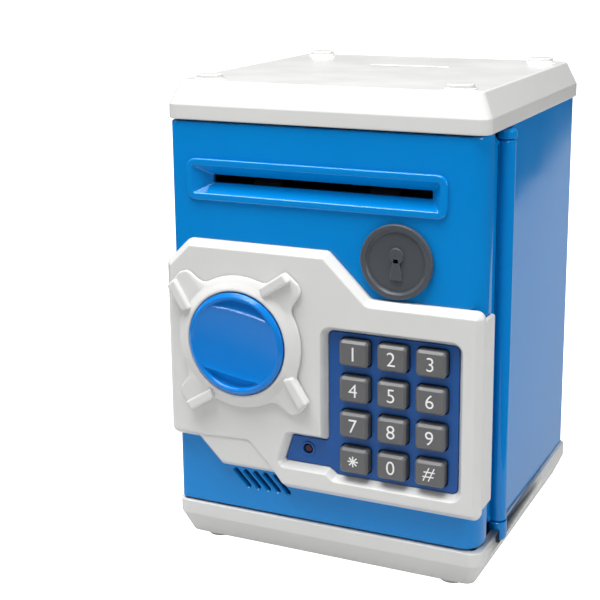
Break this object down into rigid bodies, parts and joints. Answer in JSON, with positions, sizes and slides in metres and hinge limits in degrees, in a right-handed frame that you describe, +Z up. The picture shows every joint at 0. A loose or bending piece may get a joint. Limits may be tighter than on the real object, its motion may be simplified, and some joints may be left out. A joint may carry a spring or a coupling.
{
  "type": "toy savings bank",
  "caption": "Small toy safe with a hinged electronic door: keypad, turning dial and latch, bill feed slot, coin slot in the lid and a money compartment.",
  "frame": {"origin": "middle of the whole object's box on the surface that the feet stand on", "axes": "+Z up, -Y out of the door's front, +X to the right seen from the front"},
  "size_m": [0.1298, 0.135, 0.188],
  "materials": {
    "blue_plastic": "glossy moulded",
    "deep_blue_plastic": "satin moulded",
    "white_plastic": "glossy moulded",
    "key_grey": "satin",
    "badge_grey": "satin",
    "black_plastic": "matte",
    "inner_grey": "fine spark texture",
    "silicone": "matte",
    "roller_rubber": "matte",
    "lamp_red": "clear tinted",
    "board_green": "solder mask",
    "steel": "zinc plated",
    "battery_jacket": "plain printed jacket"
  },
  "bodies": {
    "case": {"base_cover": "white_plastic", "lid_cover": "white_plastic", "body_shell": "blue_plastic", "hinge_pin": "steel", "base_screw_1": "steel", "base_screw_2": "steel", "base_screw_3": "steel", "base_screw_4": "steel"},
    "door": {"door_shell": "blue_plastic", "door_fascia": "white_plastic", "keypad_panel": "deep_blue_plastic", "keypad_mat": "silicone", "status_lamp": "lamp_red", "circuit_board": "board_green", "badge": "badge_grey", "lock_solenoid": "steel", "feed_frame": "black_plastic", "feed_motor": "steel", "loudspeaker": "black_plastic", "door_inner_cover": "inner_grey", "battery_lid": "inner_grey", "battery_1": "battery_jacket", "battery_2": "battery_jacket", "battery_3": "battery_jacket", "battery_contact_top": "steel", "battery_contact_bottom": "steel", "cover_screw_1": "steel", "cover_screw_2": "steel", "cover_screw_3": "steel", "cover_screw_4": "steel", "battery_lid_screw": "steel"},
    "key_1": {"key_1": "key_grey"},
    "key_2": {"key_2": "key_grey"},
    "key_3": {"key_3": "key_grey"},
    "key_4": {"key_4": "key_grey"},
    "key_5": {"key_5": "key_grey"},
    "key_6": {"key_6": "key_grey"},
    "key_7": {"key_7": "key_grey"},
    "key_8": {"key_8": "key_grey"},
    "key_9": {"key_9": "key_grey"},
    "key_star": {"key_star": "key_grey"},
    "key_0": {"key_0": "key_grey"},
    "key_hash": {"key_hash": "key_grey"},
    "dial": {"dial_ring": "white_plastic", "dial_cap": "blue_plastic", "dial_spindle": "white_plastic", "latch_crank": "white_plastic"},
    "bolt": {"latch_bolt": "white_plastic"},
    "plunger": {"lock_plunger": "steel"},
    "drive": {"drive_shaft": "steel", "drive_roller_left": "roller_rubber", "drive_roller_right": "roller_rubber", "drive_gear": "white_plastic"},
    "pinch": {"pinch_shaft": "steel", "pinch_roller_left": "roller_rubber", "pinch_roller_right": "roller_rubber"},
    "pinion": {"motor_pinion": "white_plastic"}
  },
  "joints": [
    {"name": "door_hinge", "type": "hinge", "parent": "case", "child": "door", "pos_m": [0.0613, -0.031, 0.094], "axis": [0, 0, 1], "range_deg": [0, 110]},
    {"name": "key_1_press", "type": "slide", "parent": "door", "child": "key_1", "axis": [0, 1, 0], "range_m": [0, 0.0012], "stiffness_N_per_m": 150, "springref_m": -0.001},
    {"name": "key_2_press", "type": "slide", "parent": "door", "child": "key_2", "axis": [0, 1, 0], "range_m": [0, 0.0012], "stiffness_N_per_m": 150, "springref_m": -0.001},
    {"name": "key_3_press", "type": "slide", "parent": "door", "child": "key_3", "axis": [0, 1, 0], "range_m": [0, 0.0012], "stiffness_N_per_m": 150, "springref_m": -0.001},
    {"name": "key_4_press", "type": "slide", "parent": "door", "child": "key_4", "axis": [0, 1, 0], "range_m": [0, 0.0012], "stiffness_N_per_m": 150, "springref_m": -0.001},
    {"name": "key_5_press", "type": "slide", "parent": "door", "child": "key_5", "axis": [0, 1, 0], "range_m": [0, 0.0012], "stiffness_N_per_m": 150, "springref_m": -0.001},
    {"name": "key_6_press", "type": "slide", "parent": "door", "child": "key_6", "axis": [0, 1, 0], "range_m": [0, 0.0012], "stiffness_N_per_m": 150, "springref_m": -0.001},
    {"name": "key_7_press", "type": "slide", "parent": "door", "child": "key_7", "axis": [0, 1, 0], "range_m": [0, 0.0012], "stiffness_N_per_m": 150, "springref_m": -0.001},
    {"name": "key_8_press", "type": "slide", "parent": "door", "child": "key_8", "axis": [0, 1, 0], "range_m": [0, 0.0012], "stiffness_N_per_m": 150, "springref_m": -0.001},
    {"name": "key_9_press", "type": "slide", "parent": "door", "child": "key_9", "axis": [0, 1, 0], "range_m": [0, 0.0012], "stiffness_N_per_m": 150, "springref_m": -0.001},
    {"name": "key_star_press", "type": "slide", "parent": "door", "child": "key_star", "axis": [0, 1, 0], "range_m": [0, 0.0012], "stiffness_N_per_m": 150, "springref_m": -0.001},
    {"name": "key_0_press", "type": "slide", "parent": "door", "child": "key_0", "axis": [0, 1, 0], "range_m": [0, 0.0012], "stiffness_N_per_m": 150, "springref_m": -0.001},
    {"name": "key_hash_press", "type": "slide", "parent": "door", "child": "key_hash", "axis": [0, 1, 0], "range_m": [0, 0.0012], "stiffness_N_per_m": 150, "springref_m": -0.001},
    {"name": "dial_turn", "type": "hinge", "parent": "door", "child": "dial", "pos_m": [-0.0322, -0.0555, 0.088], "axis": [0, 1, 0], "range_deg": [-80, 0]},
    {"name": "bolt_slide", "type": "slide", "parent": "door", "child": "bolt", "axis": [1, 0, 0], "range_m": [-0.0068, 0]},
    {"name": "plunger_slide", "type": "slide", "parent": "door", "child": "plunger", "axis": [0, 0, -1], "range_m": [0, 0.004], "stiffness_N_per_m": 100, "springref_m": -0.002},
    {"name": "drive_spin", "type": "hinge", "parent": "door", "child": "drive", "pos_m": [-0.0007, -0.0445, 0.14385], "axis": [1, 0, 0], "continuous": true},
    {"name": "pinch_spin", "type": "hinge", "parent": "door", "child": "pinch", "pos_m": [-0.0007, -0.0445, 0.15315], "axis": [1, 0, 0], "continuous": true},
    {"name": "motor_spin", "type": "hinge", "parent": "door", "child": "pinion", "pos_m": [-0.0007, -0.0445, 0.13105], "axis": [1, 0, 0], "continuous": true}
  ],
  "couplings": [
    {"joint": "bolt_slide", "follows": "dial_turn", "m_per_rad": 0.004861},
    {"joint": "pinch_spin", "follows": "drive_spin", "ratio": -1.25},
    {"joint": "motor_spin", "follows": "drive_spin", "ratio": -2.2}
  ]
}
